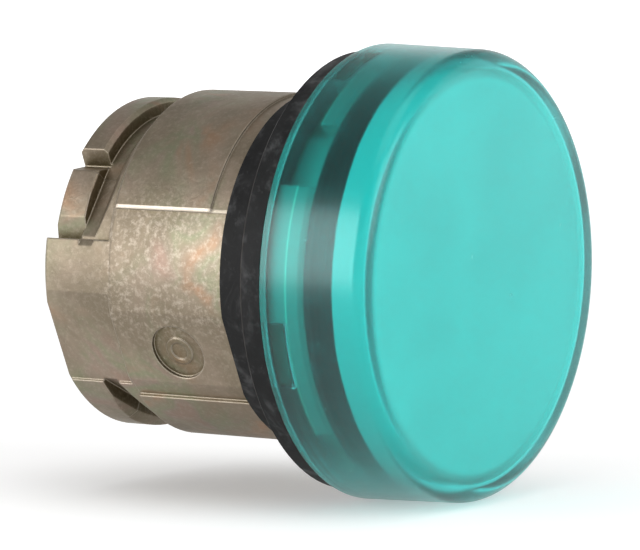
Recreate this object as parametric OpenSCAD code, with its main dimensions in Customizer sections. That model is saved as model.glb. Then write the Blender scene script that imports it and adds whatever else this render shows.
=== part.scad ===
// Pilot light head for a 22 mm panel hole: a die-cast body, a rubber panel
// gasket, and a tinted lens that twists off on four bayonet lugs.
// The axis is Y: the lens faces -Y, the body passes through the panel to +Y,
// and +Z is up. The origin is on the axis, in the plane of the panel's face.

/* [Lens] */
// Outside diameter of the lens at its rim
lens_d = 29; // [28:0.1:30]
// Wall of the lens skirt
lens_wall = 1.15; // [1:0.05:1.3]
// Thickness of the lens across its front
lens_front_t = 1; // [0.8:0.05:1.4]
// How much the lens radius shrinks from the rim to the front
lens_draft = 0.2; // [0:0.05:0.4]
// Radius of the lens's rounded front corner
lens_corner_r = 1.1; // [0.5:0.05:1.3]
// How far the middle of the front stands out as a shallow dome
lens_crown = 0.15; // [0.05:0.01:0.3]

/* [Bayonet] */
// Number of lens lugs around the skirt
lug_count = 4; // [3:1:4]
// Width of a lens lug, in degrees
lug_angle = 17; // [12:0.5:18]
// Thickness of a lens lug along the axis
lug_t = 0.95; // [0.8:0.01:1.1]
// How far a lens lug hooks inside the edge of the flange
lug_hook = 0.9; // [0.7:0.05:1]
// Turn between the locked and the free position, in degrees
twist_angle = 34; // [30:0.5:36]
// Where the locked end of the first track stands, in degrees above the side
track_end_angle = -9.5; // [-15:0.5:0]

/* [Diffuser] */
// Depth of the milky diffuser cup
diffuser_depth = 2; // [1.6:0.05:2.6]
// Wall of the diffuser cup
diffuser_wall = 0.8; // [0.6:0.05:1]
// Radius of the diffuser's rounded front edge
diffuser_edge_r = 0.5; // [0.3:0.05:0.6]

/* [Lens seal] */
// Length of the rubber lens seal along the axis
seal_t = 2.1; // [1.8:0.05:2.5]
// Depth of the groove that runs around the seal
seal_groove = 0.35; // [0.2:0.05:0.5]

/* [Body] */
// Diameter of the barrel that passes through the panel
barrel_d = 22.4; // [22:0.1:22.4]
// Thickness of the flange that carries the lens
flange_t = 2.5; // [2.3:0.05:3]
// Length of the barrel from the panel's face to its shoulder
barrel_len = 11.8; // [11:0.1:13]
// Length of the collar end behind the shoulder
tail_len = 5.2; // [4.5:0.05:5.5]
// Diameter of the rear bore that takes the lamp block
bore_d = 12.8; // [12:0.1:13]
// Metal between the bore and the floor of a collar slot
slot_wall = 3.2; // [3:0.05:3.3]
// Wall of the body around its chamber
body_wall = 1.85; // [1.5:0.05:2]
// Depth of the side panel below the barrel
panel_recess = 0.25; // [0.15:0.01:0.35]
// Depth of the side panel's flat below its round part
flat_depth = 0.3; // [0.2:0.01:0.4]
// Diameter of the sunk round pad on the flat
pad_d = 3.8; // [3:0.1:5]
// Depth of the sunk round pad
pad_depth = 0.25; // [0.15:0.01:0.35]
// How much smaller the upper lugs of the collar end are than the barrel, in radius
lug_drop = 0.6; // [0.5:0.05:0.8]
// Distance from the shoulder to the rear wall of a collar slot
slot_w = 2.6; // [2.4:0.05:2.8]
// Width of a collar slot at its floor, along the axis
slot_floor_w = 1; // [0.8:0.05:1.2]
// How far the upper lugs stop short of the rear face
lug_setback = 0.5; // [0.3:0.05:0.7]

/* [Panel gasket] */
// Outside diameter of the gasket
gasket_d = 28; // [27.5:0.1:28]
// Thickness of the gasket's flange
gasket_t = 1.8; // [1.5:0.05:2.5]
// Length of the gasket's collar behind the panel's face
collar_len = 3.1; // [2.5:0.1:4]
// Wall of the gasket's collar
collar_wall = 0.32; // [0.3:0.01:0.35]
// Depth of the neck below the barrel, in which the collar sits
neck_depth = 0.2; // [0.15:0.01:0.25]
// Length of the shallow relief behind the collar
relief_len = 1.4; // [1:0.1:2]

/* [Hidden] */
$fn = 96;

// Clearances
skirt_gap = 0.25;      // between the flange and the lens skirt
track_gap = 0.2;       // between a lens lug and the floor of its track
hook_gap = 0.05;       // between a lens lug and the land that holds it
rim_gap = 0.1;         // between the lens rim and the gasket
seal_gap = 0.05;       // between the seal and the diffuser's rim
diffuser_gap = 0.1;    // between the diffuser and the lens skirt
gasket_gap = 0.05;     // between the gasket and the barrel
entry_gap = 2;         // extra width of a track's entry, in degrees
track_room = 0.35;     // how much wider a track is than a lens lug, along the axis
spigot_gap = 0.4;      // between the body's spigot and the diffuser's floor
seal_inset = 0.1;      // how much smaller the seal is than the flange, in radius

// Small forms of the body
body_bevel = 0.3;       // bevel of the front edges of the flange and the spigot
spigot_step = 0.4;      // how much smaller the spigot is than the tracks' floor
spigot_wall = 1.1;      // wall of the spigot
chamber_land = 1;       // metal between the chamber and the shoulder, along the axis
panel_past = 0.6;       // the side panel runs this far past the shoulder
overlap = 0.5;          // how far a cut reaches back into the form before it
shoulder_bevel = 0.6 * panel_recess; // bevel of the barrel's shoulder
tail_bevel = 0.25;      // bevel of the rear edges
slot_land = 0.2;        // the collar end's forms start this far behind the shoulder
slot_bite = 0.1;        // a slot's slope comes out this far in front of the shoulder
slot_bevel = 0.25;      // bevel of a lug's edge along its slot
run_out_step = 0.1;     // a slot's run-out is smaller than the slot by this
rib_drop = 0.3;         // how much lower the rest of the collar end is than the barrel
relief_drop = 0.15;     // depth of the relief behind the gasket's collar
tail_flat_depth = 0.6;  // depth of the flat on the side of the collar end
lug_slant_depth = 1.07; // depth of the slanted end of the upper lugs
vee_depth = 1.2;        // depth of the vee between the upper lugs
vee_lean = 2.5;         // how much flatter the vee's lower side is than its upper side
pad_shift = 0.25;       // the pad sits this far below the middle of the flat
pad_back = 0.1;         // and this far behind it
pad_ring_w = 0.35;      // width of the low ring in the pad
pad_ring_h = 0.1;       // height of that ring
gasket_bevel = 0.25;    // bevel of the gasket's edges

// Places along the axis, from the panel's face
flange_back = -gasket_t;
flange_front = flange_back - flange_t;
rim_y = flange_back - rim_gap;
land_back = flange_back - lug_t - track_room;
seal_front = flange_front - seal_t;
diffuser_back = seal_front - seal_gap;
diffuser_front = diffuser_back - diffuser_depth;
spigot_front = diffuser_front + diffuser_wall + spigot_gap;
lens_front = diffuser_front - lens_front_t;
tail_end = barrel_len + tail_len;
lug_end = tail_end - lug_setback;
slot_back = barrel_len + slot_w;
vee_start = slot_back - slot_land / 2;
chamber_end = barrel_len - chamber_land;
pad_y = (barrel_len + collar_len) / 2 + pad_back;
panel_start = 0.5;     // the side panel starts under the gasket's collar
panel_end = barrel_len + panel_past;
neck_end = collar_len + gasket_gap;
relief_start = collar_len - overlap;
relief_end = collar_len + relief_len;
tail_start = barrel_len + slot_land;
collar_flat_start = panel_start + gasket_gap;

// Radii
lens_r = lens_d / 2;
skirt_r = lens_r - lens_wall;
flange_r = skirt_r - skirt_gap;
lug_tip_r = flange_r - lug_hook;
track_r = lug_tip_r - track_gap;
diffuser_r = skirt_r - diffuser_gap;
spigot_r = track_r - spigot_step;
mouth_r = spigot_r - spigot_wall;
seal_r = flange_r - seal_inset;
barrel_r = barrel_d / 2;
panel_r = barrel_r - panel_recess;
flat_r = panel_r - flat_depth;
rib_r = barrel_r - rib_drop;
relief_r = barrel_r - relief_drop;
tail_flat_r = rib_r - tail_flat_depth;
tail_lug_r = barrel_r - lug_drop;
lug_slant_r = tail_lug_r - lug_slant_depth;
chamber_r = flat_r - body_wall;
bore_r = bore_d / 2;
slot_floor_r = bore_r + slot_wall;
gasket_r = gasket_d / 2;
neck_r = barrel_r - neck_depth;
collar_in_r = neck_r + gasket_gap;
collar_r = collar_in_r + collar_wall;
collar_flat_r = flat_r + gasket_gap;

// Angles, in degrees up from the body's side at -X
panel_from = -46;
panel_to = 22;
flat_angle = -26;
rib_to = 11;
tail_flat_to = 10;
lug_slant_angle = -7;
vee_angle = 43;
lug_to = 110;
low_lug_to = -42;
upper_slot = [36, 118];
lower_slot = [-144, -66];
relief_from = 17;
relief_to = 200;

eps = 0.01;

// Turns a shape built along Z so that it runs along +Y, with angle 0 at -X
// and angles growing towards +Z.
module along_y() { rotate([-90, 0, 0]) rotate([0, 0, 180]) children(); }

// Revolves a profile of [radius, place along the axis] points.
module turned(points) { rotate_extrude() polygon(points); }

// A disc or post between two places along the axis.
module post(r, from, to) { translate([0, 0, from]) cylinder(r = r, h = to - from); }

// A pie slice between two angles, as tall as the places along the axis.
module slice(a0, a1, r, from, to) {
    steps = ceil((a1 - a0) / 30);
    rim = [for (i = [0 : steps]) let (a = a0 + (a1 - a0) * i / steps) [cos(a), sin(a)] * r];
    translate([0, 0, from]) linear_extrude(to - from) polygon(concat([[0, 0]], rim));
}

// A ring sector between two radii and two angles.
module ring_sector(r_in, r_out, a0, a1, from, to) {
    intersection() {
        difference() {
            post(r_out, from, to);
            post(r_in, from - 1, to + 1);
        }
        slice(a0, a1, 2 * r_out, from - 1, to + 1);
    }
}

// Everything beyond a flat at distance d from the axis, facing angle a.
module beyond_flat(d, a, from, to) {
    rotate([0, 0, a]) translate([d, -lens_r, from]) cube([lens_r, 2 * lens_r, to - from]);
}

// What is cut off the collar end between two angles: all that stands outside
// radius r, with a bevel at its rear edge, and all of the children.
module tail_cut(r, a0, a1, end) {
    out = barrel_r + 1;
    past = tail_end + 1;
    intersection() {
        union() {
            turned([[r, tail_start], [out, tail_start], [out, past],
                    [r - (past - end) - tail_bevel, past], [r, end - tail_bevel]]);
            post(out, end, past);
            children();
        }
        slice(a0, a1, 2 * out, 0, past + 1);
    }
}

// What is cut away for the side panel: a shallow round recess with one flat.
module side_panel_cut() {
    intersection() {
        union() {
            difference() {
                post(barrel_r + 1, panel_start, panel_end);
                post(panel_r, panel_start - 1, panel_end + 1);
            }
            beyond_flat(flat_r, flat_angle, panel_start, panel_end);
        }
        slice(panel_from, panel_to, lens_d, 0, tail_end);
    }
}

// One place for each lens lug around the skirt.
module each_lug() {
    for (i = [0 : lug_count - 1]) rotate([0, 0, i * 360 / lug_count]) children();
}

// Section of a slot behind the shoulder: floor, rear wall with a bevel at its
// top, and a slope that runs up to the barrel. It is smaller by step all round.
function slot_section(step) =
    let (floor_r = slot_floor_r + step, back = slot_back - step, top = barrel_r + 1,
         front = barrel_len - slot_bite + step, floor_front = slot_back - slot_floor_w,
         k = (floor_front - front) / (barrel_r - slot_floor_r), bevel_r = tail_lug_r - slot_bevel + step)
    [[floor_r, back], [bevel_r, back], [top, back + top - bevel_r],
     [top, front - k * (top - barrel_r)], [floor_r, front + k * (barrel_r - floor_r)]];

// A slot that follows the body between two angles, and runs out to the surface
// along a flat past one of them.
module collar_slot(between, run_out) {
    intersection() {
        turned(slot_section(0));
        slice(between[0], between[1], lens_d, 0, tail_end + 1);
    }
    rotate([0, 0, run_out]) rotate([90, 0, 0]) translate([0, 0, -barrel_r])
        linear_extrude(2 * barrel_r) polygon(slot_section(run_out_step));
}

// Bayonet track of one lens lug: the closed run behind the land, and the
// entry at its end that is open to the front.
module lug_track() {
    run_end = track_end_angle - twist_angle;
    ring_sector(track_r, flange_r + 1, run_end, track_end_angle, land_back, flange_back + 1);
    ring_sector(track_r, flange_r + 1, run_end - lug_angle - entry_gap, run_end + eps,
                flange_front - 1, flange_back + 1);
}

// Section of the body of revolution, before its flats, slots and tracks.
module body_turning() {
    turned([
        [mouth_r, spigot_front],
        [spigot_r - body_bevel, spigot_front],
        [spigot_r, spigot_front + body_bevel],
        [spigot_r, flange_front],
        [flange_r - body_bevel, flange_front],
        [flange_r, flange_front + body_bevel],
        [flange_r, flange_back],
        [neck_r, flange_back],
        [neck_r, neck_end],
        [barrel_r, neck_end],
        [barrel_r, barrel_len - shoulder_bevel],
        [barrel_r - shoulder_bevel, barrel_len],
        [rib_r, barrel_len],
        [rib_r, tail_end - tail_bevel],
        [rib_r - tail_bevel, tail_end],
        [bore_r, tail_end],
        [bore_r, chamber_end],
        [chamber_r, chamber_end],
        [chamber_r, flange_back],
        [mouth_r, flange_front]
    ]);
}

// Sunk round pad on the flat, with a low ring standing in it.
module pad_cut() {
    rotate([0, 0, flat_angle]) translate([flat_r - pad_depth, -pad_shift, pad_y]) rotate([0, 90, 0])
        difference() {
            cylinder(d = pad_d, h = 2);
            difference() {
                translate([0, 0, -1]) cylinder(d = pad_d / 2, h = 1 + pad_ring_h);
                translate([0, 0, -2]) cylinder(d = pad_d / 2 - 2 * pad_ring_w, h = 4);
            }
        }
}

module head_body() {
    color("#8f8371") along_y() difference() {
        body_turning();
        each_lug() lug_track();
        side_panel_cut();
        pad_cut();
        ring_sector(relief_r, barrel_r + 1, relief_from, relief_to, relief_start, relief_end);
        // The flat on the side of the collar end, up to the lower lug.
        intersection() {
            beyond_flat(tail_flat_r, flat_angle, tail_start, tail_end + 1);
            slice(low_lug_to, tail_flat_to, lens_d, 0, tail_end + 2);
        }
        // The upper lugs, with a slanted lower end.
        tail_cut(tail_lug_r, rib_to, lug_to, lug_end)
            beyond_flat(lug_slant_r, lug_slant_angle, vee_start, tail_end + 1);
        // Slots for the fixing collar's hooks.
        collar_slot(upper_slot, upper_slot[0]);
        collar_slot(lower_slot, lower_slot[1]);
        // Vee between the two upper lugs.
        rotate([0, 0, vee_angle]) translate([0, 0, vee_start]) linear_extrude(tail_len)
            polygon([[tail_lug_r - vee_depth, 0], [barrel_r + 1, vee_depth],
                     [barrel_r + 1, -vee_lean * vee_depth]]);
    }
}

// The collar follows the body's side panel, so it has a flat inside and outside.
module panel_gasket() {
    color("#2b2a2a") along_y() difference() {
        turned([
            [0, flange_back],
            [gasket_r - gasket_bevel, flange_back],
            [gasket_r, flange_back + gasket_bevel],
            [gasket_r, -gasket_bevel],
            [gasket_r - gasket_bevel, 0],
            [collar_r, 0],
            [collar_r, collar_len],
            [0, collar_len]
        ]);
        difference() {
            post(collar_in_r, flange_back - 1, collar_len + 1);
            beyond_flat(collar_flat_r, flat_angle, collar_flat_start, collar_len + 2);
        }
        beyond_flat(collar_flat_r + collar_wall, flat_angle,
                    collar_flat_start + collar_wall, collar_len + 2);
    }
}

module lens_seal() {
    lip = seal_t / 4;
    color("#1f1f20") along_y() turned([
        [spigot_r, flange_front],
        [seal_r, flange_front],
        [seal_r, flange_front - lip],
        [seal_r - seal_groove, flange_front - 1.5 * lip],
        [seal_r - seal_groove, seal_front + 1.5 * lip],
        [seal_r, seal_front + lip],
        [seal_r, seal_front],
        [spigot_r, seal_front]
    ]);
}

// Outline of the lens wall from the rim to the middle of the front, with the
// corner as an arc and the front as a shallow dome.
function lens_outline() = concat(
    [[skirt_r, rim_y], [lens_r, rim_y]],
    [for (a = [0 : 10 : 90])
        [lens_r - lens_draft - lens_corner_r * (1 - cos(a)),
         lens_front + lens_corner_r * (1 - sin(a))]],
    [for (i = [1 : 8])
        let (t = 1 - i / 8, r = (lens_r - lens_draft - lens_corner_r) * t)
        [r, lens_front - lens_crown * (1 - t * t)]],
    [[0, diffuser_front], [skirt_r, diffuser_front]]
);

module lens_cap() {
    color([0.05, 0.62, 0.58, 0.55]) along_y() {
        turned(lens_outline());
        each_lug() ring_sector(lug_tip_r, skirt_r + eps, track_end_angle - lug_angle, track_end_angle,
                               land_back + hook_gap, land_back + hook_gap + lug_t);
    }
}

module diffuser() {
    inner_r = diffuser_r - diffuser_wall;
    color("#e8f2ee") along_y() turned(concat(
        [[inner_r, diffuser_back], [diffuser_r, diffuser_back]],
        [for (a = [0 : 15 : 90])
            [diffuser_r - diffuser_edge_r * (1 - cos(a)),
             diffuser_front + diffuser_edge_r * (1 - sin(a))]],
        [[0, diffuser_front], [0, diffuser_front + diffuser_wall],
         [inner_r, diffuser_front + diffuser_wall]]
    ));
}

head_body();
panel_gasket();
lens_seal();
lens_cap();
diffuser();
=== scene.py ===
import bpy
import numpy as np
from mathutils import Matrix, Vector


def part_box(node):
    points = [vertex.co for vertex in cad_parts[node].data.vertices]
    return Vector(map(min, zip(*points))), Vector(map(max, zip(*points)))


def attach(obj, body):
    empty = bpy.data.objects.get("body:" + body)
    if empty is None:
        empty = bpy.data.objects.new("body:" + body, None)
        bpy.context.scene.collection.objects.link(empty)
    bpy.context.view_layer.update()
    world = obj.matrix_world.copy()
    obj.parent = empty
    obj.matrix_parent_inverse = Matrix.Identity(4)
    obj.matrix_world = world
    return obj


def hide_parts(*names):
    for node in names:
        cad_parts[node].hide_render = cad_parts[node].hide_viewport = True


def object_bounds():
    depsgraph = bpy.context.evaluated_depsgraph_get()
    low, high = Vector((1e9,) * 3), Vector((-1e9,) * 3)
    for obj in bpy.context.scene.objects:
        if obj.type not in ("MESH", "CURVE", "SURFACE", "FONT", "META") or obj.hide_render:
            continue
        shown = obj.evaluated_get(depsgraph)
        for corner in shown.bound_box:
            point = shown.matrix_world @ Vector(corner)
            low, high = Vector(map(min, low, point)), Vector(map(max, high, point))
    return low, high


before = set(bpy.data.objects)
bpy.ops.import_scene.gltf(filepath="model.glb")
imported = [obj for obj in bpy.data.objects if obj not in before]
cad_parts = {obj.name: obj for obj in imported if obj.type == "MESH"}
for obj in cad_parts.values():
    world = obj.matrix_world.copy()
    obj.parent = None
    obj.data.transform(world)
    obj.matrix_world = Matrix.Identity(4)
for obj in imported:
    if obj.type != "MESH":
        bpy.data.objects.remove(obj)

bl_info = {
    "name": "Panel pilot light head",
    "version": (1, 0, 0),
    "blender": (4, 5, 0),
    "location": "3D View > Sidebar > Pilot light",
    "description": "Builds the lens, the diffuser, the rubber parts and the finishes of a pilot light head",
    "category": "Add Mesh",
}

MM = 0.001
CAD_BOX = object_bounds()
LENS_LOW, LENS_HIGH = (np.array(p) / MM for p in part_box("lens_cap"))
CUP_LOW, CUP_HIGH = (np.array(p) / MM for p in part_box("diffuser"))
SEAL_LOW, SEAL_HIGH = (np.array(p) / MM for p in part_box("lens_seal"))

# Places on the casting, in millimetres and in degrees up from its side at -X.
PAD_PLACE = (-9.24, 7.55, -4.78)
PAD_RADIUS = 1.9
PANEL_EDGE_ANGLE = 22.0
BARREL_RADIUS = 11.2
LAND_RADIUS = 13.1
LAND_BACK = -3.1
SKIRT_END = -1.9
# The middle of the first closed run of the bayonet tracks.
RUN_ANGLE = -26.5

LUG_COUNT = 4
# Width of the slope at each side of a lens lug, in degrees.
LUG_RAMP = 0.3
# Rounding of a profile's corner that stays sharp, in millimetres.
SHARP = 0.01

CAMERA_PLACE = (-0.2565, -0.1613, 0.0269)
CAMERA_AHEAD = (0.8387, 0.5371, -0.0895)
CAMERA_LENS = 268.0
FLOOR_GAP = 0.0001


# ---------------------------------------------------------------- surfaces

def rounded(points, radii, steps=6):
    """A profile whose corners are rounded.

    Each corner P with rounding r becomes an arc about C = P + m r / sin(h), where m is the unit
    direction that halves the corner and h is half its angle. The arc runs from one side's touching
    point, r / tan(h) from P, to the other's. A corner with no rounding keeps its point, repeated.
    """
    p = np.asarray(points, float)
    r = np.asarray(radii, float)[:, None]
    back = np.roll(p, 1, axis=0) - p
    ahead = np.roll(p, -1, axis=0) - p
    back /= np.linalg.norm(back, axis=1, keepdims=True)
    ahead /= np.linalg.norm(ahead, axis=1, keepdims=True)
    middle = back + ahead
    middle /= np.linalg.norm(middle, axis=1, keepdims=True)
    half = np.arccos(np.clip((back * ahead).sum(1, keepdims=True), -1, 1)) / 2
    centre = p + middle * r / np.sin(half)
    start = p + back * r / np.tan(half) - centre
    stop = p + ahead * r / np.tan(half) - centre
    sweep = np.pi - 2 * half
    t = np.linspace(0, 1, steps)[None, :, None]
    sweep = sweep[:, :, None]
    arc = (np.sin((1 - t) * sweep) * start[:, None] + np.sin(t * sweep) * stop[:, None]) / np.sin(sweep)
    return (centre[:, None] + arc).reshape(-1, 2)


def angles_of(count, extra=()):
    """Angles around the axis in radians: an even spacing, with extra ones given in degrees."""
    even = np.arange(count) * (360.0 / count)
    return np.radians(np.unique(np.round(np.concatenate([even, np.mod(extra, 360.0)]), 4)))


def around(r, y, theta):
    """Points r from the Y axis at angle theta, which is 0 at -X and grows towards +Z, all in millimetres."""
    r, y, theta = np.broadcast_arrays(r, y, theta)
    return np.stack([-r * np.cos(theta), y, r * np.sin(theta)], axis=-1) * MM


def grid_mesh(name, points, closed_rows, poles):
    """A mesh from a grid of points: rows along the profile, columns around the axis.

    Four neighbours of the grid make a face. The columns always close. closed_rows joins the last row
    to the first; poles closes the first and the last row with a fan to the row's mean point.
    """
    rows, cols = points.shape[:2]
    index = np.arange(rows * cols).reshape(rows, cols)
    low = index if closed_rows else index[:-1]
    high = np.roll(index, -1, axis=0) if closed_rows else index[1:]
    quads = np.stack([low, np.roll(low, -1, axis=1), np.roll(high, -1, axis=1), high], axis=-1).reshape(-1, 4)
    verts = points.reshape(-1, 3)
    tris = np.empty((0, 3), int)
    if poles:
        n = len(verts)
        verts = np.concatenate([verts, points[0].mean(0)[None], points[-1].mean(0)[None]])
        first, last = index[0], index[-1]
        tris = np.concatenate([
            np.stack([np.full(cols, n), np.roll(first, -1), first], axis=-1),
            np.stack([np.full(cols, n + 1), last, np.roll(last, -1)], axis=-1),
        ])
    corners = np.concatenate([quads[:, [0, 1, 2]], quads[:, [0, 2, 3]], tris])
    a, b, c = (verts[corners[:, k]] for k in range(3))
    if np.einsum("ij,ij->i", a, np.cross(b, c)).sum() < 0:
        quads, tris = quads[:, ::-1], tris[:, ::-1]
    mesh = bpy.data.meshes.new(name)
    mesh.from_pydata(verts.tolist(), [], quads.tolist() + tris.tolist())
    mesh.validate()
    mesh.polygons.foreach_set("use_smooth", np.ones(len(mesh.polygons), bool))
    piece = bpy.data.objects.new(name, mesh)
    bpy.context.scene.collection.objects.link(piece)
    return piece


def bump_between(theta, start, stop, ramp):
    """1 between two angles and 0 outside, with straight ramps, all in degrees: a pattern around the axis."""
    d = np.mod(np.degrees(theta) - start + 180, 360) - 180
    e = np.mod(np.degrees(theta) - stop + 180, 360) - 180
    return np.clip((d + ramp) / ramp, 0, 1) * np.clip((ramp - e) / ramp, 0, 1) * (np.abs(d - e) < 180)


# ---------------------------------------------------------------- materials

class Value:
    """A socket of a material's nodes. Sums and products of values add Math nodes."""

    def __init__(self, net, socket):
        self.net, self.socket = net, socket

    def _math(self, operation, a, b=0.0, clamp=False):
        return self.net.add("ShaderNodeMath", {"operation": operation, "use_clamp": clamp}, {0: a, 1: b})

    def __add__(self, other):
        return self._math("ADD", self, other)

    def __sub__(self, other):
        return self._math("SUBTRACT", self, other)

    def __rsub__(self, other):
        return self._math("SUBTRACT", other, self)

    def __mul__(self, other):
        return self._math("MULTIPLY", self, other)

    __radd__ = __add__
    __rmul__ = __mul__

    def limited(self):
        """The value held between 0 and 1."""
        return self._math("MULTIPLY", self, 1.0, clamp=True)


class Net:
    """The nodes of one new material, or of a tree that is given, such as the world's."""

    def __init__(self, name=None, tree=None):
        self.material = None if tree else bpy.data.materials.new(name)
        if self.material:
            self.material.use_nodes = True
        self.tree = tree or self.material.node_tree
        self.tree.nodes.clear()

    def add(self, kind, settings=None, inputs=None, out=0):
        """Adds a node: its settings first, then the values or links of its sockets."""
        node = self.tree.nodes.new(kind)
        for key, value in (settings or {}).items():
            if key == "stops":
                self._stops(node.color_ramp, value)
            else:
                setattr(node, key, value)
        for key, value in (inputs or {}).items():
            if isinstance(value, Value):
                self.tree.links.new(value.socket, node.inputs[key])
            else:
                node.inputs[key].default_value = value
        return Value(self, node.outputs[out]) if len(node.outputs) else None

    @staticmethod
    def _stops(ramp, stops):
        """Fills a colour ramp with pairs of a place and a colour."""
        while len(ramp.elements) < len(stops):
            ramp.elements.new(0.5)
        for element, (place, colour) in zip(ramp.elements, stops):
            element.position = place
            element.color = rgba(colour)

    def place(self):
        """The shaded point in the object's own coordinates, in metres."""
        return self.add("ShaderNodeTexCoord", out="Object")

    def seen(self):
        """1 for rays that show the background: from the camera, in gloss and through glass."""
        path = {name: self.add("ShaderNodeLightPath", out=name)
                for name in ("Is Camera Ray", "Is Glossy Ray", "Is Transmission Ray")}
        return (path["Is Camera Ray"] + path["Is Glossy Ray"] + path["Is Transmission Ray"]).limited()

    def noise(self, where, scale, detail, roughness, distortion=0.0):
        """A cloudy pattern between 0 and 1 with this many features to a metre."""
        return self.add("ShaderNodeTexNoise", {}, {
            "Vector": where, "Scale": scale, "Detail": detail, "Roughness": roughness,
            "Distortion": distortion})

    def step(self, value, low, high):
        """0 below low, 1 above high, smooth between."""
        return self.add("ShaderNodeMapRange", {"interpolation_type": "SMOOTHSTEP"},
                        {"Value": value, "From Min": low, "From Max": high})

    def window(self, value, low, high, ramp):
        """1 between low and high, 0 outside, with a soft ramp at each end."""
        return self.step(value, low - ramp, low) * (1.0 - self.step(value, high, high + ramp))

    def angle(self, up, out):
        """The angle in radians of a point that lies up and out from the axis."""
        return self.add("ShaderNodeMath", {"operation": "ARCTAN2"}, {0: up, 1: out})

    def mix(self, factor, a, b):
        """Blends two colours."""
        return self.add("ShaderNodeMix", {"data_type": "RGBA"}, {0: factor, 6: a, 7: b}, out=2)

    def bump(self, height, strength, distance, normal=None):
        """A normal that is tilted by the slope of height, from the surface's own or from normal."""
        inputs = {"Height": height, "Strength": strength, "Distance": distance}
        if normal is not None:
            inputs["Normal"] = normal
        return self.add("ShaderNodeBump", {}, inputs)

    def finish(self, inputs):
        """Ends the material with a Principled shader that has these inputs."""
        self.output(self.add("ShaderNodeBsdfPrincipled", {}, inputs))

    def output(self, shader):
        """Ends the material with this shader."""
        self.add("ShaderNodeOutputMaterial", {}, {"Surface": shader})


def rgba(colour):
    """A colour with full opacity."""
    return (colour[0], colour[1], colour[2], 1.0)


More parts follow.
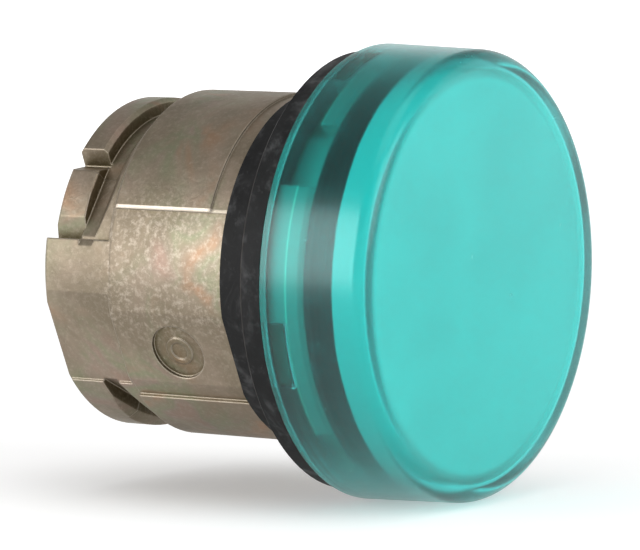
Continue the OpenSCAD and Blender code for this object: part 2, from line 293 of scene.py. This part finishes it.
def casting_material(s):
    """Yellow-passivated die-cast zinc: an olive metal with faint orange, green and pink patches,
    a painted sparkle of glints, small pits, painted highlights on its edges and painted shade in its hollows."""
    net = Net("passivated_zinc")
    place = net.place()
    x, y, z = (net.add("ShaderNodeSeparateXYZ", {}, {0: place}, out=k) for k in "XYZ")
    around_axis = net.angle(z, -1.0 * x)
    from_axis = net.add("ShaderNodeVectorMath", {"operation": "LENGTH"},
                        {0: net.add("ShaderNodeCombineXYZ", {}, {"X": x, "Z": z})}, out="Value")
    # A painted highlight along the side panel's edge: a narrow band of the barrel above the recess, where the
    # bevel is also widened.
    above = around_axis - np.radians(PANEL_EDGE_ANGLE)
    panel_highlight = (net.window(above, -0.001, 0.018, 0.004) * net.window(y, 0.0032, 0.0117, 0.0002)
             * net.step(from_axis, (BARREL_RADIUS - 0.2) * MM, (BARREL_RADIUS - 0.1) * MM))
    # More painted glints on the side panel: the band of the barrel where the key lamp's light falls.
    lit_band = (net.window(around_axis, np.radians(-12), np.radians(17), 0.25)
               * net.window(y, 0.002, 0.0118, 0.001))
    # Under the skirt the plating is fresh. It is duller on the land than on the track floors, which are
    # painted lighter against their shade, and painted shade darkens the closed runs of the tracks.
    fresh = 1.0 - net.step(y, SKIRT_END * MM, (SKIRT_END + 0.1) * MM)
    painted_light = net.step(from_axis, (LAND_RADIUS - 0.3) * MM, (LAND_RADIUS - 0.1) * MM)
    # The closed runs repeat around the axis, so a cosine marks them for their painted shade. A fine bright
    # line runs beside them, along the land's back edge.
    turns = net.add("ShaderNodeMath", {"operation": "COSINE"},
                    {0: (around_axis - np.radians(RUN_ANGLE)) * LUG_COUNT})
    run_shade = net.step(turns, 0.33, 0.42) * net.step(y, (LAND_BACK - 0.02) * MM, (LAND_BACK + 0.02) * MM)
    line = net.window(y, (LAND_BACK - 0.07) * MM, (LAND_BACK - 0.01) * MM, 0.03 * MM) * painted_light
    radius = panel_highlight * 0.00016 + s.edge_radius
    edge_normal = net.add("ShaderNodeBevel", {"samples": 8}, {"Radius": radius})
    flat_normal = net.add("ShaderNodeNewGeometry", out="Normal")
    turn = net.add("ShaderNodeVectorMath", {"operation": "DOT_PRODUCT"}, {0: edge_normal, 1: flat_normal},
                   out="Value")
    edge = net.step(1.0 - turn, 0.02, 0.25)
    # The recessed pad is painted darker: painted shade.
    from_pad = net.add("ShaderNodeVectorMath", {"operation": "DISTANCE"},
                       {0: place, 1: tuple(c * MM for c in PAD_PLACE)}, out="Value")
    pad_shade = 1.0 - net.step(from_pad, (PAD_RADIUS - 0.10) * MM, PAD_RADIUS * MM)
    cloud = net.noise(place, 170, 4, 0.6, 0.4)
    hue = net.noise(place, 230, 3, 0.5, 0.8)
    grain = net.noise(place, 4200, 3, 0.6)
    wrinkle = net.noise(place, 1250, 3, 0.6, 0.6)
    speck = net.noise(place, 3000, 3, 0.7)
    hollow = 1.0 - net.add("ShaderNodeAmbientOcclusion", {"samples": 8}, {"Distance": 0.002}, out="AO")
    body = net.mix(net.step(cloud, 0.35, 0.65), rgba(s.dark), rgba(s.colour))
    tints = net.add("ShaderNodeValToRGB", {"stops": [
        (0.34, (0.43, 0.23, 0.12)), (0.44, (0.31, 0.26, 0.18)), (0.52, (0.23, 0.28, 0.16)),
        (0.60, (0.31, 0.25, 0.20)), (0.70, (0.38, 0.21, 0.18))]}, {"Fac": hue})
    patch = net.step(net.noise(place, 150, 2, 0.5), 0.42, 0.66)
    body = net.mix(patch * s.iridescence, body, tints)
    # Darker and yellowish in hollows, by their occlusion: painted shade mixed with a yellowish stained tone;
    # the recessed pad gets painted shade too.
    stain_and_shade_mask = (net.step(hollow, 0.14, 0.62) * 0.9 + pad_shade * 0.45).limited()
    body = net.mix(stain_and_shade_mask, body, rgba(s.stain_and_shade))
    # Painted glints: specks of the lighter colour, more in the lit band.
    glint = net.step(speck, 0.44, 0.74) * (0.16 + lit_band * 0.30)
    body = net.mix(glint, body, rgba(s.light))
    # A fine painted sparkle.
    body = net.mix(net.step(grain, 0.60, 0.80) * 0.25, body, rgba(s.light))
    # Painted highlights on the edges, where the bevel turns the normal.
    body = net.mix(edge * 0.5, body, rgba(s.light))
    # The painted highlight along the side panel's edge.
    body = net.mix(panel_highlight * 0.75, body, rgba(s.highlight_line))
    # The track floors keep the full fresh colour, a painted lift against their shade; the land and the closed
    # runs are duller, and the closed runs also get painted shade.
    plated = net.mix((painted_light + run_shade).limited(), rgba(s.fresh), rgba(tuple(c * 0.66 for c in s.fresh)))
    plated = net.mix(run_shade * (1.0 - painted_light) * 0.32, plated, rgba(s.stain_and_shade))
    plated = net.mix(line, plated, rgba(s.highlight_line))
    body = net.mix(fresh, body, plated)
    rough = 0.36 + wrinkle * 0.16 + (1.0 - patch) * 0.05 - edge * 0.10 - panel_highlight * 0.08
    normal = net.bump(wrinkle + grain * 0.35, 0.6, 0.00005, edge_normal)
    net.finish({"Base Color": body, "Metallic": 0.85 - fresh * 0.45, "Roughness": rough.limited(),
                "Normal": normal})
    return net.material


def rubber_material(name, colour, gloss, shine):
    """Moulded rubber: matt and dark, with pale patches of painted highlight, dust specks and a fine leathery
    grain.
    """
    net = Net(name)
    place = net.place()
    cloud = net.noise(place, 260, 4, 0.65, 0.8)
    lump = net.noise(place, 620, 3, 0.6, 0.5)
    dust = net.step(net.noise(place, 1900, 3, 0.65), 0.56, 0.74)
    fine = net.noise(place, 3800, 3, 0.6)
    pale = tuple(c * 3.0 + 0.05 for c in colour)
    # Pale patches of painted highlight, mixed with dust specks.
    painted_light = net.step(cloud, 0.46, 0.66) * net.step(lump, 0.40, 0.66)
    body = net.mix(net.step(cloud, 0.3, 0.6), rgba(tuple(c * 0.4 for c in colour)), rgba(colour))
    body = net.mix((painted_light * 0.95 + dust * 0.25).limited(), body, rgba(pale))
    normal = net.bump(fine * 0.25 + lump, 0.5, 0.00006)
    net.finish({"Base Color": body, "Roughness": (gloss + cloud * 0.15 + dust * 0.1).limited(),
                "Specular IOR Level": shine, "Normal": normal})
    return net.material


def lens_material(s):
    """Tinted clear plastic: sees through to the parts behind, with faint flow lines and scuffs."""
    net = Net("tinted_lens")
    place = net.place()
    cloud = net.noise(place, 120, 3, 0.5, 0.6)
    scuff = net.step(net.noise(place, 900, 4, 0.7), 0.60, 0.78)
    body = net.mix(net.step(cloud, 0.3, 0.7), rgba(s.tint), rgba(tuple(c * 0.94 for c in s.tint)))
    normal = net.bump(cloud, 0.05, 0.00005)
    glass = net.add("ShaderNodeBsdfPrincipled", {}, {
        "Base Color": body, "Roughness": 0.22 + scuff * 0.08, "IOR": 1.49, "Transmission Weight": 1.0,
        "Normal": normal})
    clear = net.add("ShaderNodeBsdfTransparent", {}, {"Color": rgba(s.shadow_tint)})
    shadow = net.add("ShaderNodeLightPath", out="Is Shadow Ray")
    net.output(net.add("ShaderNodeMixShader", {}, {0: shadow, 1: glass, 2: clear}))
    return net.material


def diffuser_material(s):
    """Milky plastic: white with a cloudy depth that lets light through."""
    net = Net("milky_plastic")
    place = net.place()
    cloud = net.noise(place, 260, 4, 0.55, 0.3)
    fine = net.noise(place, 2600, 2, 0.5)
    y = net.add("ShaderNodeSeparateXYZ", {}, {0: place}, out="Y")
    side = net.step(y, CUP_LOW[1] * MM, (CUP_LOW[1] + 0.2) * MM)
    body = net.mix(net.step(cloud, 0.3, 0.7), rgba(s.milk), rgba(tuple(c * 0.97 for c in s.milk)))
    # Painted shade: the cup's side is darker than its front.
    body = net.mix(side, body, rgba(tuple(c * s.side_shade for c in s.milk)))
    normal = net.bump(fine, 0.2, 0.00003)
    net.finish({"Base Color": body, "Roughness": (0.32 + cloud * 0.2).limited(), "Normal": normal,
                "Subsurface Weight": 0.25, "Subsurface Radius": (0.0012, 0.0014, 0.0014),
                "Subsurface Scale": 1.0})
    return net.material


def dress(node, material):
    """Gives a node of the frame a material in every slot."""
    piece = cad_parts[node]
    piece.data.materials.clear()
    piece.data.materials.append(material)


# ---------------------------------------------------------------- settings

class StageSettings(bpy.types.PropertyGroup):
    key_power: bpy.props.FloatProperty(
        name="Key power", description="Power of the large soft lamp beside the collar end", default=2.7,
        min=0, unit="POWER")
    top_power: bpy.props.FloatProperty(
        name="Top power", description="Power of the soft lamp overhead", default=0.8, min=0, unit="POWER")
    front_power: bpy.props.FloatProperty(
        name="Front power", description="Power of the soft lamp before the lens", default=1.6, min=0,
        unit="POWER")
    world_strength: bpy.props.FloatProperty(
        name="Surroundings", description="Strength of the light from all around", default=0.48, min=0)
    ceiling: bpy.props.FloatProperty(
        name="Ceiling", description="Strength of the dark ceiling that gloss and glass show", default=0.38,
        min=0)
    floor_lift: bpy.props.FloatProperty(
        name="Floor lift", description="Light added to the floor where the camera sees it", default=0.42,
        min=0)
    # Less light is added right below the object: a painted shadow.
    floor_under: bpy.props.FloatProperty(
        name="Floor lift below", description="The same, right below the object", default=0.22, min=0)
    floor_colour: bpy.props.FloatVectorProperty(
        name="Floor", description="Colour of the floor", default=(0.86, 0.86, 0.86), subtype="COLOR",
        min=0, max=1)


class CastingSettings(bpy.types.PropertyGroup):
    colour: bpy.props.FloatVectorProperty(
        name="Metal", description="Main colour of the passivated casting", default=(0.318, 0.254, 0.192),
        subtype="COLOR", min=0, max=1)
    dark: bpy.props.FloatVectorProperty(
        name="Dull metal", description="Colour of the duller clouds", default=(0.228, 0.187, 0.132),
        subtype="COLOR", min=0, max=1)
    # Colour of the painted highlights on edges and of the painted sparkle of glints.
    light: bpy.props.FloatVectorProperty(
        name="Bright metal", description="Colour of worn edges and of the sparkle",
        default=(0.62, 0.54, 0.45), subtype="COLOR", min=0, max=1)
    # Colour of the painted highlight along the side panel's edge, and of the fine bright line by the land.
    highlight_line: bpy.props.FloatVectorProperty(
        name="Burnished edge", description="Colour of the rubbed edge of the side panel",
        default=(0.90, 0.80, 0.68), subtype="COLOR", min=0, max=1)
    fresh: bpy.props.FloatVectorProperty(
        name="Fresh plating", description="Colour of the plating under the lens skirt",
        default=(0.48, 0.49, 0.46), subtype="COLOR", min=0, max=1)
    # Colour of the yellowish stained tone and of the painted shade in hollows and in the closed runs.
    stain_and_shade: bpy.props.FloatVectorProperty(
        name="Stain", description="Colour of the yellowish stain in hollows", default=(0.115, 0.090, 0.042),
        subtype="COLOR", min=0, max=1)
    iridescence: bpy.props.FloatProperty(
        name="Iridescence", description="How strong the orange, green and pink patches are", default=0.55,
        min=0, max=1, subtype="FACTOR")
    edge_radius: bpy.props.FloatProperty(
        name="Edge radius", description="Radius over which the casting's edges catch the light",
        default=0.0002, min=0, unit="LENGTH")


class RubberSettings(bpy.types.PropertyGroup):
    gasket: bpy.props.FloatVectorProperty(
        name="Gasket", description="Colour of the panel gasket", default=(0.013, 0.013, 0.0135),
        subtype="COLOR", min=0, max=1)
    seal: bpy.props.FloatVectorProperty(
        name="Seal", description="Colour of the lens seal", default=(0.012, 0.012, 0.014), subtype="COLOR",
        min=0, max=1)
    groove: bpy.props.FloatProperty(
        name="Groove", description="Depth of the groove around the seal, in millimetres", default=0.35, min=0)


class LensSettings(bpy.types.PropertyGroup):
    tint: bpy.props.FloatVectorProperty(
        name="Tint", description="Colour of light that has passed through the lens wall",
        default=(0.05, 0.80, 0.77), subtype="COLOR", min=0, max=1)
    shadow_tint: bpy.props.FloatVectorProperty(
        name="Lamp tint", description="Colour of lamp light that falls through one face of the lens",
        default=(0.72, 0.90, 0.89), subtype="COLOR", min=0, max=1)
    wall: bpy.props.FloatProperty(
        name="Wall", description="Wall of the lens skirt, in millimetres", default=1.15, min=0.5)
    draft: bpy.props.FloatProperty(
        name="Draft", description="How much the lens narrows from rim to front, in millimetres", default=0.2,
        min=0)
    corner: bpy.props.FloatProperty(
        name="Corner", description="Radius of the front corner, in millimetres", default=1.1, min=0.2)
    inner_corner: bpy.props.FloatProperty(
        name="Inner corner", description="Radius of the corner inside the lens, in millimetres", default=0.4,
        min=0.1)
    crown: bpy.props.FloatProperty(
        name="Crown", description="Height of the dome of the front, in millimetres", default=0.15, min=0)
    front: bpy.props.FloatProperty(
        name="Front", description="Thickness across the front, in millimetres", default=1.0, min=0.3)
    lug_start: bpy.props.FloatProperty(
        name="Lug start", description="Angle of one lug's lower edge, in degrees", default=-26.5)
    lug_width: bpy.props.FloatProperty(
        name="Lug width", description="Width of a lug around the axis, in degrees", default=17.0)
    lug_length: bpy.props.FloatProperty(
        name="Lug length", description="Length of a lug along the axis, in millimetres", default=0.95)
    lug_depth: bpy.props.FloatProperty(
        name="Lug depth", description="How far a lug stands in from the skirt, in millimetres", default=1.15)
    lug_back: bpy.props.FloatProperty(
        name="Lug back", description="Distance of the lugs from the rim, in millimetres", default=0.2)
    milk: bpy.props.FloatVectorProperty(
        name="Milk", description="Colour of the diffuser", default=(0.93, 0.95, 0.95), subtype="COLOR",
        min=0, max=1)
    # The diffuser's side is painted darker than its front: painted shade.
    side_shade: bpy.props.FloatProperty(
        name="Side", description="How light the diffuser's thin side is beside its front", default=0.72,
        min=0, max=1, subtype="FACTOR")
    cup_wall: bpy.props.FloatProperty(
        name="Cup wall", description="Wall of the diffuser cup, in millimetres", default=0.8, min=0.3)
    cup_edge: bpy.props.FloatProperty(
        name="Cup edge", description="Radius of the diffuser's front edge, in millimetres", default=0.7,
        min=0.1)
    cup_taper: bpy.props.FloatProperty(
        name="Cup taper", description="How much the cup's radius shrinks from back to front, in millimetres",
        default=0.55, min=0)


# ---------------------------------------------------------------- operators

class PILOT_OT_stage(bpy.types.Operator):
    """Adds the camera, the soft lamps, the surroundings and the pale floor"""

    bl_idname = "pilot.stage"
    bl_label = "Stage"

    def execute(self, context):
        s = context.scene.pilot_stage
        scene = context.scene
        camera = bpy.data.objects.new("camera", bpy.data.cameras.new("camera"))
        ahead = Vector(CAMERA_AHEAD).normalized()
        side = ahead.cross(Vector((0, 0, 1))).normalized()
        turn = Matrix((side, side.cross(ahead), -ahead)).transposed().to_4x4()
        camera.matrix_world = Matrix.Translation(CAMERA_PLACE) @ turn
        camera.data.sensor_width = 36
        camera.data.lens = CAMERA_LENS
        camera.data.clip_start = 0.01
        scene.collection.objects.link(camera)
        scene.camera = camera

        self.lamp(scene, "key_lamp", s.key_power, (0.50, 0.55), (-0.60, 0.40, 0.12))
        self.lamp(scene, "top_lamp", s.top_power, (0.60, 0.60), (-0.15, -0.10, 0.75))
        self.lamp(scene, "front_lamp", s.front_power, (0.50, 0.50), (-0.10, -0.62, 0.30))

        world = bpy.data.worlds.new("studio")
        world.use_nodes = True
        net = Net(tree=world.node_tree)
        # The height of a ray's direction: the ceiling is dark in gloss and in glass only.
        direction = net.add("ShaderNodeTexCoord", out="Generated")
        height = net.add("ShaderNodeSeparateXYZ", {}, {0: direction}, out="Z")
        ceiling = net.step(height, 0.30, 0.62) * (1.0 - net.add("ShaderNodeLightPath", out="Is Camera Ray"))
        white = 1.0 - ceiling * (1.0 - s.ceiling)
        strength = net.seen() * (white - s.world_strength) + s.world_strength
        room = net.add("ShaderNodeBackground", {}, {"Color": (1, 1, 1, 1), "Strength": strength})
        net.add("ShaderNodeOutputWorld", {}, {"Surface": room})
        scene.world = world

        level = CAD_BOX[0][2] - FLOOR_GAP
        size = 3.0
        mesh = bpy.data.meshes.new("floor")
        mesh.from_pydata([(-size, -size, level), (size, -size, level), (size, size, level),
                          (-size, size, level)], [], [(0, 1, 2, 3)])
        floor = bpy.data.objects.new("floor", mesh)
        scene.collection.objects.link(floor)
        net = Net("studio_floor")
        matt = net.add("ShaderNodeBsdfDiffuse", {}, {"Color": rgba(s.floor_colour)})
        place = net.place()
        from_barrel = net.add("ShaderNodeVectorMath", {"operation": "DISTANCE"},
                              {0: place, 1: (-0.001, 0.010, level)}, out="Value")
        under = 1.0 - net.step(from_barrel, 0.002, 0.021)
        away = net.add("ShaderNodeVectorMath", {"operation": "LENGTH"}, {0: place}, out="Value")
        # Light is added where it is seen: to full white far away, and less under the barrel, which paints a
        # soft shadow there.
        lift = (net.step(away, 0.08, 0.5) * (1.0 - s.floor_lift) + s.floor_lift
                - under * (s.floor_lift - s.floor_under))
        glow = net.add("ShaderNodeEmission", {}, {"Strength": lift})
        none = net.add("ShaderNodeEmission", {}, {"Strength": 0.0})
        added = net.add("ShaderNodeMixShader", {}, {0: net.seen(), 1: none, 2: glow})
        net.output(net.add("ShaderNodeAddShader", {}, {0: matt, 1: added}))
        mesh.materials.append(net.material)
        scene.view_settings.view_transform = "Standard"
        return {"FINISHED"}

    @staticmethod
    def lamp(scene, name, power, size, place):
        """Adds a soft rectangular lamp that faces the origin."""
        data = bpy.data.lights.new(name, "AREA")
        data.shape = "RECTANGLE"
        data.size, data.size_y = size
        data.energy = power
        lamp = bpy.data.objects.new(name, data)
        place = Vector(place)
        lamp.rotation_euler = (-place).to_track_quat("-Z", "Y").to_euler()
        lamp.location = place
        scene.collection.objects.link(lamp)


class PILOT_OT_casting(bpy.types.Operator):
    """Gives the die-cast body its passivated zinc finish"""

    bl_idname = "pilot.casting"
    bl_label = "Casting"

    def execute(self, context):
        dress("head_body", casting_material(context.scene.pilot_casting))
        return {"FINISHED"}


class PILOT_OT_rubber(bpy.types.Operator):
    """Finishes the panel gasket and builds the grooved lens seal"""

    bl_idname = "pilot.rubber"
    bl_label = "Rubber parts"

    def execute(self, context):
        s = context.scene.pilot_rubber
        dress("panel_gasket", rubber_material("gasket_rubber", s.gasket, 0.5, 0.2))
        r, r_in = SEAL_HIGH[0], inner_radius("lens_seal")
        front, back = SEAL_LOW[1], SEAL_HIGH[1]
        lip = (back - front) / 4
        profile = rounded(
            [[r_in, back], [r, back], [r, back - lip], [r - s.groove, back - 1.5 * lip],
             [r - s.groove, front + 1.5 * lip], [r, front + lip], [r, front], [r_in, front]],
            [0.08, 0.2, 0.15, 0.12, 0.12, 0.15, 0.2, 0.08])
        theta = angles_of(288)
        points = around(profile[:, 0, None], profile[:, 1, None], theta[None])
        seal = grid_mesh("seal_ring", points, closed_rows=True, poles=False)
        seal.data.materials.append(rubber_material("seal_rubber", s.seal, 0.5, 0.1))
        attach(seal, "head")
        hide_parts("lens_seal")
        return {"FINISHED"}


def inner_radius(node):
    """Smallest distance of a node's points from the Y axis, in millimetres."""
    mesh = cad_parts[node].data
    co = np.empty(len(mesh.vertices) * 3)
    mesh.vertices.foreach_get("co", co)
    co = co.reshape(-1, 3)
    return float(np.hypot(co[:, 0], co[:, 2]).min() / MM)


class PILOT_OT_lens(bpy.types.Operator):
    """Builds the tinted lens with its four bayonet lugs"""

    bl_idname = "pilot.lens"
    bl_label = "Lens"

    def execute(self, context):
        s = context.scene.pilot_lens
        r, rim = LENS_HIGH[0], LENS_HIGH[1]
        front = LENS_LOW[1] + s.crown
        r_front = r - s.draft
        skirt = r - s.wall
        inside = front + s.front
        lug_low = rim - s.lug_back - s.lug_length
        # The closed half section, from the middle of the front round the rim to the middle of the inside.
        t = np.linspace(0.02, 1, 26)
        flat = r_front - s.corner
        dome = np.stack([flat * t, front - s.crown * (1 - t ** 2)], axis=1)
        a = np.radians(np.linspace(90, 0, 16))[1:]
        corner = np.stack([r_front - s.corner * (1 - np.cos(a)), front + s.corner * (1 - np.sin(a))], axis=1)
        side = np.stack([np.linspace(r_front, r, 14), np.linspace(corner[-1, 1], rim, 14)], axis=1)[1:-1]
        steps = 5
        rim_edge = rounded([[r, inside], [r, rim], [skirt, rim], [skirt, inside]],
                           [SHARP, 0.04, 0.04, SHARP], steps)[steps:3 * steps]
        lug_high, slope = rim - s.lug_back, 0.02
        lug_rows = np.array([lug_high + slope, lug_high - slope, lug_low + slope, lug_low - slope])
        lug = np.stack([np.full(4, skirt), lug_rows], axis=1)
        wall_rows = np.linspace(lug_low - 0.3, inside + s.inner_corner + 0.1, 10)
        wall = np.stack([np.full(10, skirt), wall_rows], axis=1)
        steps = 10
        inner_corner = rounded([[skirt, rim], [skirt, inside], [0, inside]],
                               [SHARP, s.inner_corner, SHARP], steps)[steps:2 * steps]
        inner = np.stack([np.linspace(skirt - s.inner_corner - 0.1, 0.3, 16), np.full(16, inside)], axis=1)
        profile = np.concatenate([dome, corner, side, rim_edge, lug, wall, inner_corner, inner])
        first_lug = len(dome) + len(corner) + len(side) + len(rim_edge) + 1
        inward = np.zeros(len(profile))
        inward[[first_lug, first_lug + 1]] = s.lug_depth
        starts = s.lug_start + 360.0 / LUG_COUNT * np.arange(LUG_COUNT)
        stops = starts + s.lug_width
        near = np.concatenate([starts - LUG_RAMP, starts, stops, stops + LUG_RAMP])
        theta = angles_of(288, near)
        on_lug = sum(bump_between(theta, a0, a0 + s.lug_width, LUG_RAMP) for a0 in starts)
        radius = profile[:, 0, None] - inward[:, None] * on_lug[None]
        points = around(radius, profile[:, 1, None], theta[None])
        lens = grid_mesh("lens_shell", points, closed_rows=False, poles=True)
        lens.data.materials.append(lens_material(s))
        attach(lens, "lens")
        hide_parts("lens_cap")
        return {"FINISHED"}


class PILOT_OT_diffuser(bpy.types.Operator):
    """Builds the milky diffuser cup behind the lens"""

    bl_idname = "pilot.diffuser"
    bl_label = "Diffuser"

    def execute(self, context):
        s = context.scene.pilot_lens
        r, back, front = CUP_HIGH[0], CUP_HIGH[1], CUP_LOW[1]
        r_front = r - s.cup_taper
        r_in, floor = r - s.cup_wall, front + s.cup_wall
        theta = angles_of(360)
        t = np.linspace(0.02, 0.97, 16)
        face = np.stack([(r_front - s.cup_edge) * t, np.full(16, front)], axis=1)
        steps = 7
        outer = rounded([[0, front], [r_front, front], [r, back], [r_in, back], [r_in - s.cup_taper, floor],
                         [0, floor]],
                        [SHARP, s.cup_edge, 0.15, 0.15, 0.3, SHARP], steps)[steps:5 * steps]
        inner = np.stack([(r_in - s.cup_taper) * np.linspace(0.94, 0.02, 14), np.full(14, floor)], axis=1)
        profile = np.concatenate([face, outer, inner])
        # The moulded rear edge is a little ragged: rows near it move forward by a sum of sines.
        waves = np.array([3, 7, 11, 19, 31, 47])
        phases = np.array([0.4, 2.1, 5.2, 1.3, 3.9, 0.8])
        ragged = (np.sin(waves[:, None] * theta + phases[:, None]) / np.sqrt(waves)[:, None]).sum(0)
        depth, reach = 0.10, 0.8
        ragged = depth * (ragged - ragged.max()) / np.ptp(ragged)
        share = np.clip((profile[:, 1] - (back - reach)) / reach, 0, 1)
        y = profile[:, 1, None] + share[:, None] * ragged[None]
        points = around(profile[:, 0, None], y, theta[None])
        cup = grid_mesh("diffuser_cup", points, closed_rows=False, poles=True)
        cup.data.materials.append(diffuser_material(s))
        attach(cup, "lens")
        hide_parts("diffuser")
        return {"FINISHED"}


class PILOT_PT_panel(bpy.types.Panel):
    """Lists the pieces of the pilot light head"""

    bl_label = "Pilot light"
    bl_space_type = "VIEW_3D"
    bl_region_type = "UI"
    bl_category = "Pilot light"

    def draw(self, context):
        for operator in OPERATORS:
            self.layout.operator(operator.bl_idname)


SETTINGS = {"pilot_stage": StageSettings, "pilot_casting": CastingSettings, "pilot_rubber": RubberSettings,
            "pilot_lens": LensSettings}
OPERATORS = (PILOT_OT_stage, PILOT_OT_casting, PILOT_OT_rubber, PILOT_OT_lens, PILOT_OT_diffuser)


def register():
    for kind in (*SETTINGS.values(), *OPERATORS, PILOT_PT_panel):
        bpy.utils.register_class(kind)
    for name, kind in SETTINGS.items():
        setattr(bpy.types.Scene, name, bpy.props.PointerProperty(type=kind))


def unregister():
    for name in SETTINGS:
        delattr(bpy.types.Scene, name)
    for kind in reversed((*SETTINGS.values(), *OPERATORS, PILOT_PT_panel)):
        bpy.utils.unregister_class(kind)


def main():
    register()
    bpy.ops.pilot.stage()
    bpy.ops.pilot.casting()
    bpy.ops.pilot.rubber()
    bpy.ops.pilot.lens()
    bpy.ops.pilot.diffuser()


if __name__ == "__main__":
    main()
